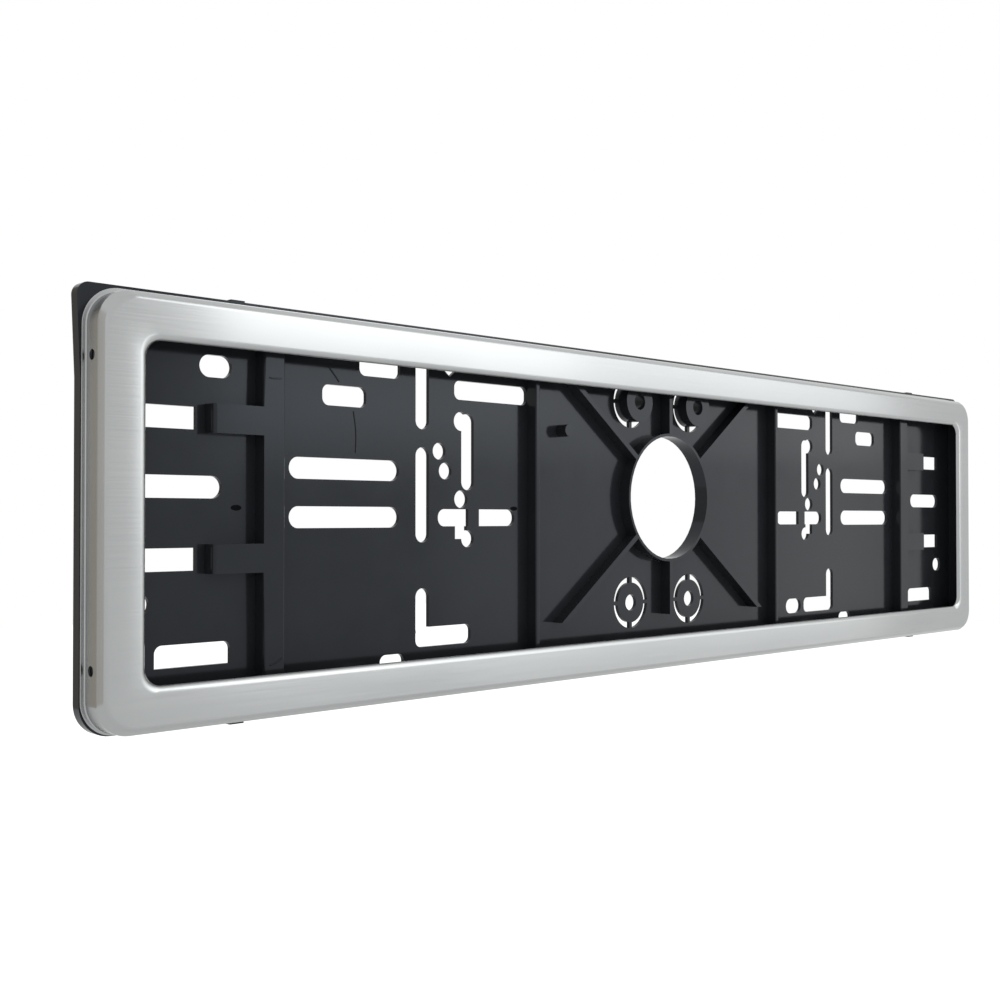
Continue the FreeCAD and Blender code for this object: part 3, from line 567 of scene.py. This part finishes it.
# %% The whole tree
def frame_tree():
    """The pierced sheet, with its finish."""
    tree = GeometryTree("pressed_frame", FRAME_INPUTS)
    sheet = swept_sheet(tree, turn_points(tree), section_points(tree))
    pierced = tree.node("GeometryNodeMeshBoolean", {"Mesh 1": sheet, "Mesh 2": end_punches(tree)},
                        operation="DIFFERENCE", solver="EXACT")
    realized = tree.node("GeometryNodeRealizeInstances", {"Geometry": pierced.outputs[0]})
    painted = tree.node("GeometryNodeSetMaterial",
                        {"Geometry": realized.outputs[0], "Material": tree.value("Finish")})
    tree.finish(painted.outputs[0])
    return tree


pressed_frame = frame_tree()
print("nodes in the tree:", len(pressed_frame.tree.nodes))

# %% [markdown]
# The tree is now run once and its result kept as a plain mesh. The faces are made to point
# outwards, creases sharper than a bend are marked, and a UV map is added whose U runs along the
# brushing, so that the steel's tangent follows it on every face. That is X on the face, and Z on
# the two end walls, which are polished after the sheet is bent. The finished piece then stands for
# the CAD node of the same sheet: it has the same outer sizes, with rounder bends.

# %% The steel frame
SMOOTH_ANGLE = math.radians(32)
SAME_PLACE = 1e-6


def tidy_mesh(mesh, merge=0.0):
    """Merges doubles, points the faces outwards and marks sharp edges."""
    shell = bmesh.new()
    shell.from_mesh(mesh)
    if merge:
        bmesh.ops.remove_doubles(shell, verts=shell.verts, dist=merge)
    bmesh.ops.recalc_face_normals(shell, faces=shell.faces)
    open_edges = sum(not edge.is_manifold for edge in shell.edges)
    shell.to_mesh(mesh)
    shell.free()
    mesh.shade_smooth()
    mesh.set_sharp_from_angle(angle=SMOOTH_ANGLE)
    return open_edges


def add_grain_map(mesh):
    """A UV map with U along the grain: along X, but along Z on the two end walls."""
    layer = mesh.uv_layers.new(name="grain")
    for face in mesh.polygons:
        end_wall = abs(face.normal.x) > max(abs(face.normal.y), abs(face.normal.z))
        for loop in face.loop_indices:
            x, y, z = mesh.vertices[mesh.loops[loop].vertex_index].co
            layer.data[loop].uv = (z, y) if end_wall else (x, z + y)


steel_frame = pressed_frame.bake("steel_frame")
bpy.data.objects.remove(section)
open_edges = tidy_mesh(steel_frame.data, merge=SAME_PLACE)
add_grain_map(steel_frame.data)
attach(steel_frame, "root")
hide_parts("trim_frame")
print("steel frame:", len(steel_frame.data.polygons), "faces,", open_edges, "open edges")

# %% [markdown]
# The moulded tray already has its true shape in the CAD model, but a CAD edge is perfectly sharp
# and a moulded one never is. A copy of its mesh is merged and its flat faces are joined, so that a
# bevel has room. Then the upright front edges of the ribs are rounded, each by its own radius.

# %% The tray's mesh
FLAT_ANGLE = math.radians(0.5)
ON_THE_LINE = 1e-5
RIB_FRONT = 6.85
RIB_ROUNDING_STEPS = 4
ROUND_PROFILE = 0.5
RIB_EDGES = ((230.6, 1.4), (211.6, 1.2), (203.3, 0.7), (84.5, 0.6), (82.0, 0.6))


def copy_node(node, name):
    """A new object with a copy of a CAD node's mesh, without the normals stored with it."""
    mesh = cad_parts[node].data.copy()
    mesh.name = name
    stored = mesh.attributes.get("custom_normal")
    if stored:
        mesh.attributes.remove(stored)
    piece = bpy.data.objects.new(name, mesh)
    render_scene.collection.objects.link(piece)
    return piece


def join_flat_faces(mesh):
    """Merges the loose triangles and joins those that lie in one plane."""
    shell = bmesh.new()
    shell.from_mesh(mesh)
    bmesh.ops.remove_doubles(shell, verts=shell.verts, dist=SAME_PLACE)
    bmesh.ops.dissolve_limit(shell, angle_limit=FLAT_ANGLE, use_dissolve_boundaries=False,
                             verts=shell.verts, edges=shell.edges)
    shell.to_mesh(mesh)
    shell.free()


def on_rib_edge(vert, line):
    """Whether a point lies on the ribs' front and at a distance to the left or the right."""
    in_front = abs(vert.co.y + RIB_FRONT * MM) < ON_THE_LINE
    return in_front and abs(abs(vert.co.x) - line * MM) < ON_THE_LINE


def round_rib_edges(mesh, line, radius):
    """Rounds the upright front edges of the ribs at a given distance to the left and the right."""
    shell = bmesh.new()
    shell.from_mesh(mesh)
    chosen = [edge for edge in shell.edges if all(on_rib_edge(vert, line) for vert in edge.verts)]
    bmesh.ops.bevel(shell, geom=chosen, offset=radius * MM, offset_type="OFFSET",
                    segments=RIB_ROUNDING_STEPS, profile=ROUND_PROFILE, affect="EDGES")
    shell.to_mesh(mesh)
    shell.free()
    return len(chosen)


moulded_tray = copy_node("backplate", "moulded_tray")
join_flat_faces(moulded_tray.data)
rounded = [round_rib_edges(moulded_tray.data, line, radius) for line, radius in RIB_EDGES]
open_edges = tidy_mesh(moulded_tray.data)
print("rib edges rounded:", rounded, "with", open_edges, "open edges left")

# %% [markdown]
# A Bevel modifier rounds every other real edge by 0.3 mm, and weighted normals keep the flat faces
# flat beside it. This rounding is what catches the light along the ribs and round the slots. The
# tray then stands for its CAD node.

# %% The tray's finish
EDGE_ROUNDING = 0.3
EDGE_ROUNDING_STEPS = 2
EDGE_ANGLE = math.radians(40)

rounding = moulded_tray.modifiers.new("edge_rounding", "BEVEL")
rounding.width = EDGE_ROUNDING * MM
rounding.segments = EDGE_ROUNDING_STEPS
rounding.limit_method = "ANGLE"
rounding.angle_limit = EDGE_ANGLE
rounding.harden_normals = True
shading = moulded_tray.modifiers.new("flat_face_shading", "WEIGHTED_NORMAL")
shading.keep_sharp = True
moulded_tray.data.materials.clear()
moulded_tray.data.materials.append(plastic)
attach(moulded_tray, "root")
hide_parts("backplate")
print("tray:", len(moulded_tray.data.polygons), "faces before rounding")

# %% [markdown]
# Moulding leaves small traces: a flat stub where the plastic was let in, and thin raised lines
# where two flows of plastic met. They are real shapes, if shallow, so they are a mesh of their own.
# The lines have the tray's own gloss. The stubs are dull, and their dark colour is painted shade,
# which stands for the shade inside the small pits at these places. So the stubs' finish comes
# first.

# %% Finish of the stubs, whose dark colour is painted shade
# The stubs' near-black colour and low IOR are painted shade for the small pits at these places.
STUB_PAINTED_SHADE = (0.0030, 0.0036, 0.0048, 1)
STUB_ROUGHNESS = (0.4, 0.6)
STUB_IOR = 1.10
STUB_BUMP = 0.1


# A dull, near-black finish whose darkness is painted shade of a pit.
def painted_pit_shade_plastic():
    material, tree = start_material("moulding_trace")
    skin = object_noise(tree, SKIN_SCALE)
    shader = add_node(tree, "ShaderNodeBsdfPrincipled",
                      {"Base Color": STUB_PAINTED_SHADE, "Roughness": spread(tree, skin, *STUB_ROUGHNESS),
                       "IOR": STUB_IOR, "Normal": relief(tree, skin, STUB_BUMP, SKIN_DEPTH)})
    finish_material(tree, shader)
    return material


pit_shade_finish = painted_pit_shade_plastic()
print("material:", pit_shade_finish.name)

# %% [markdown]
# A stub is a low oval with a flat top. A line follows a smooth curve along a few points, and a
# round wire on it is sunk to its middle in the tray, so that only a low ridge stands up. Each stub
# is given by its place and half sizes, and each ridge by the height of the face that it lies on and
# its route. All of them are one piece, which rides on the tray's body and stands for no CAD node.

# %% Moulding traces
FLOOR_FRONT = 1.5
STUBS = ((-218.8, -5.3, 2.3, 1.05), (-91.6, -4.9, 2.2, 0.9))
STUB_RISE = 0.12
STUB_SINK = 0.3
STUB_CROWN = 0.85
STUB_SIDES = 28
RIDGE_RADIUS = 0.28
RIDGE_ROUNDNESS = 2
RIDGE_ORDER = 3
TRACE_MERGE = 1e-7
RIDGES = (
    (FLOOR_FRONT, ((-181.8, 43.4), (-179.7, 41.5), (-177.3, 38.6))),
    (FLOOR_FRONT, ((-171.0, 28.9), (-170.0, 24.0), (-169.7, 18.8), (-170.0, 14.2))),
    (RIB_FRONT, ((-209.6, 37.2), (-207.5, 37.0), (-205.0, 37.3))),
    (RIB_FRONT, ((-209.2, -56.6), (-207.0, -56.2), (-204.6, -54.6))))


def add_stub(shell, x, z, half_width, half_height):
    """A low oval on the tray's floor, with a flat top."""
    rim, crown = [], []
    for step in range(STUB_SIDES):
        angle = 2 * math.pi * step / STUB_SIDES
        for ring, share, rise in ((rim, 1.0, -STUB_SINK), (crown, STUB_CROWN, STUB_RISE)):
            ring.append(shell.verts.new(((x + half_width * share * math.cos(angle)) * MM,
                                         -(FLOOR_FRONT + rise) * MM,
                                         (z + half_height * share * math.sin(angle)) * MM)))
    shell.faces.new(rim[::-1])
    shell.faces.new(crown)
    for step in range(STUB_SIDES):
        after = (step + 1) % STUB_SIDES
        shell.faces.new((rim[step], rim[after], crown[after], crown[step]))


def ridge_mesh(level, route):
    """A thin wire along a smooth curve that lies at a given height on the tray."""
    curve = bpy.data.curves.new("ridge", "CURVE")
    curve.dimensions = "3D"
    curve.bevel_depth = RIDGE_RADIUS * MM
    curve.bevel_resolution = RIDGE_ROUNDNESS
    curve.use_fill_caps = True
    spline = curve.splines.new("NURBS")
    spline.points.add(len(route) - 1)
    for point, (x, z) in zip(spline.points, route):
        point.co = (x * MM, -level * MM, z * MM, 1)
    spline.order_u = RIDGE_ORDER
    spline.use_endpoint_u = True
    wire = bpy.data.objects.new("ridge", curve)
    mesh = bpy.data.meshes.new_from_object(wire)
    bpy.data.objects.remove(wire)
    return mesh


def moulding_traces():
    """One piece with all the ridges, in the tray's plastic, and all the stubs, in the dull one with
    painted shade.
    """
    shell = bmesh.new()
    for level, route in RIDGES:
        shell.from_mesh(ridge_mesh(level, route))
    ridge_faces = len(shell.faces)
    for stub in STUBS:
        add_stub(shell, *stub)
    for index, face in enumerate(shell.faces):
        face.material_index = int(index >= ridge_faces)
    mesh = bpy.data.meshes.new("moulding_traces")
    mesh.materials.append(plastic)
    mesh.materials.append(pit_shade_finish)
    shell.to_mesh(mesh)
    shell.free()
    tidy_mesh(mesh, merge=TRACE_MERGE)
    piece = bpy.data.objects.new("moulding_traces", mesh)
    render_scene.collection.objects.link(piece)
    return piece


traces = moulding_traces()
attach(traces, "root")
print("traces:", len(traces.data.polygons), "faces")

# %% [markdown]
# The holder is fixed to a car, not stood on a table, so the floor lies well below it. The floor is
# pale and matt. The photograph's ground is pure white, so the floor adds some light of its own for
# what the camera sees straight on, and a little for reflections. Matt surfaces get none of it. The
# sizes of the floor, and of the lamps and the screen after it, are in metres.

# %% Floor
FLOOR_DROP = 0.3
FLOOR_SIZE = 6.0
FLOOR_COLOUR = (0.85, 0.85, 0.85, 1)
FLOOR_GLOW_SEEN = 0.42
FLOOR_GLOW_REFLECTED = 0.12
WHITE = (1, 1, 1, 1)


def pale_floor():
    material, tree = start_material("pale_floor")
    path = add_node(tree, "ShaderNodeLightPath").outputs
    reflected = add_node(tree, "ShaderNodeMath",
                         {0: path["Is Glossy Ray"], 1: FLOOR_GLOW_REFLECTED}, operation="MULTIPLY")
    glow = add_node(tree, "ShaderNodeMath",
                    {0: path["Is Camera Ray"], 1: FLOOR_GLOW_SEEN, 2: reflected.outputs[0]},
                    operation="MULTIPLY_ADD")
    matt = add_node(tree, "ShaderNodeBsdfDiffuse", {"Color": FLOOR_COLOUR})
    lift = add_node(tree, "ShaderNodeEmission", {"Color": WHITE, "Strength": glow.outputs[0]})
    both = add_node(tree, "ShaderNodeAddShader", {0: matt.outputs[0], 1: lift.outputs[0]})
    finish_material(tree, both)
    return material


def plain_quad(name, corners, material):
    """An object that is one four-sided face."""
    mesh = bpy.data.meshes.new(name)
    mesh.from_pydata(corners, [], [(0, 1, 2, 3)])
    mesh.materials.append(material)
    quad = bpy.data.objects.new(name, mesh)
    render_scene.collection.objects.link(quad)
    return quad


half = FLOOR_SIZE / 2
floor = plain_quad("floor", [(x, y, -FLOOR_DROP) for x, y in
                             ((-half, -half), (half, -half), (half, half), (-half, half))],
                   pale_floor())
print("floor at", -FLOOR_DROP, "m")

# %% [markdown]
# The world is a plain white room. What the camera sees, and what the metal and the plastic reflect,
# is white at strength 1. The light that it throws on matt surfaces is a little weaker, because the
# lamps add the rest.

# %% World
WORLD_LIGHT = 0.85


def white_world():
    """A white world that is a little dimmer as a light than as a sight."""
    world = bpy.data.worlds.new("white_room")
    world.use_nodes = True
    tree = world.node_tree
    tree.nodes.clear()
    path = add_node(tree, "ShaderNodeLightPath").outputs
    seen = path["Is Camera Ray"]
    for ray in ("Is Glossy Ray", "Is Transmission Ray"):
        seen = add_node(tree, "ShaderNodeMath", {0: seen, 1: path[ray]},
                        operation="MAXIMUM").outputs[0]
    strength = spread(tree, seen, WORLD_LIGHT, 1.0, 0.0, 1.0)
    background = add_node(tree, "ShaderNodeBackground", {"Color": WHITE, "Strength": strength})
    add_node(tree, "ShaderNodeOutputWorld", {"Surface": background.outputs[0]})
    return world


render_scene.world = white_world()
print("world:", render_scene.world.name)

# %% [markdown]
# The lamps are three large soft boxes: a broad high one, a narrower key box over its left half that
# puts the bright passage on the steel's upper bar, and a low one on the right for the lower bar.
# A flat mirror shows a lamp where the camera's own mirror image would see it. So each lamp is given
# by the turns and rises, in degrees, that it fills for that image, and by its radiance.

# %% Lamps
LAMP_DISTANCE = 2.5
MIRROR_EYE = (camera.location.x, -2 * FRONT * MM - camera.location.y, camera.location.z)
LAMPS = (("broad_box", (31.9, 61.3), (2.5, 40), 1.20),
         ("key_box", (32.4, 48), (4, 40), 0.75),
         ("low_box", (42.2, 60.5), (-6.5, 2), 0.49))


def soft_box(name, turns, rises, radiance):
    """An upright lamp that fills the given angles, seen from the camera's mirror image."""
    turn = math.radians(sum(turns) / 2)
    low, high = (LAMP_DISTANCE * math.tan(math.radians(rise)) for rise in rises)
    data = bpy.data.lights.new(name, "AREA")
    data.shape = "RECTANGLE"
    data.size = 2 * LAMP_DISTANCE * math.tan(math.radians(turns[1] - turns[0]) / 2)
    data.size_y = high - low
    data.energy = radiance * math.pi * data.size * data.size_y
    lamp = bpy.data.objects.new(name, data)
    lamp.location = (MIRROR_EYE[0] + LAMP_DISTANCE * math.sin(turn),
                     MIRROR_EYE[1] - LAMP_DISTANCE * math.cos(turn),
                     MIRROR_EYE[2] + (low + high) / 2)
    lamp.rotation_euler = (math.radians(90), 0, turn)
    render_scene.collection.objects.link(lamp)


for lamp_settings in LAMPS:
    soft_box(*lamp_settings)
print("lamps:", [lamp.name for lamp in bpy.data.lights])

# %% [markdown]
# A white room would make the sides of the holder as bright as its front. In the photograph they are
# darker and browner, and a dim screen to the left of the holder and behind it does that here. Only
# reflections see it, so it casts no shadow and never shows in the picture.

# %% Dim screen
SCREEN_ENDS = ((-1.35, -0.35), (-0.30, 1.60))
SCREEN_HEIGHT = 1.6
SCREEN_NEAR = (0.66, 0.62, 0.58, 1)
SCREEN_FAR = (0.43, 0.385, 0.315, 1)
SCREEN_FADE = (0.1, 1.1)


def screen_glow():
    """A faint glow, darker towards the screen's far end."""
    material, tree = start_material("dim_screen")
    place = add_node(tree, "ShaderNodeTexCoord").outputs["Object"]
    along = add_node(tree, "ShaderNodeSeparateXYZ", {0: place}).outputs[1]
    colour = mix_colours(tree, spread(tree, along, 0.0, 1.0, *SCREEN_FADE), SCREEN_NEAR, SCREEN_FAR)
    glow = add_node(tree, "ShaderNodeEmission", {"Color": colour, "Strength": 1.0})
    finish_material(tree, glow)
    return material


(near_x, near_y), (far_x, far_y) = SCREEN_ENDS
half = SCREEN_HEIGHT / 2
screen = plain_quad("dim_screen", [(near_x, near_y, -half), (far_x, far_y, -half),
                                   (far_x, far_y, half), (near_x, near_y, half)], screen_glow())
screen.visible_camera = False
screen.visible_diffuse = False
screen.visible_shadow = False
screen.visible_transmission = False
print("screen:", screen.name)
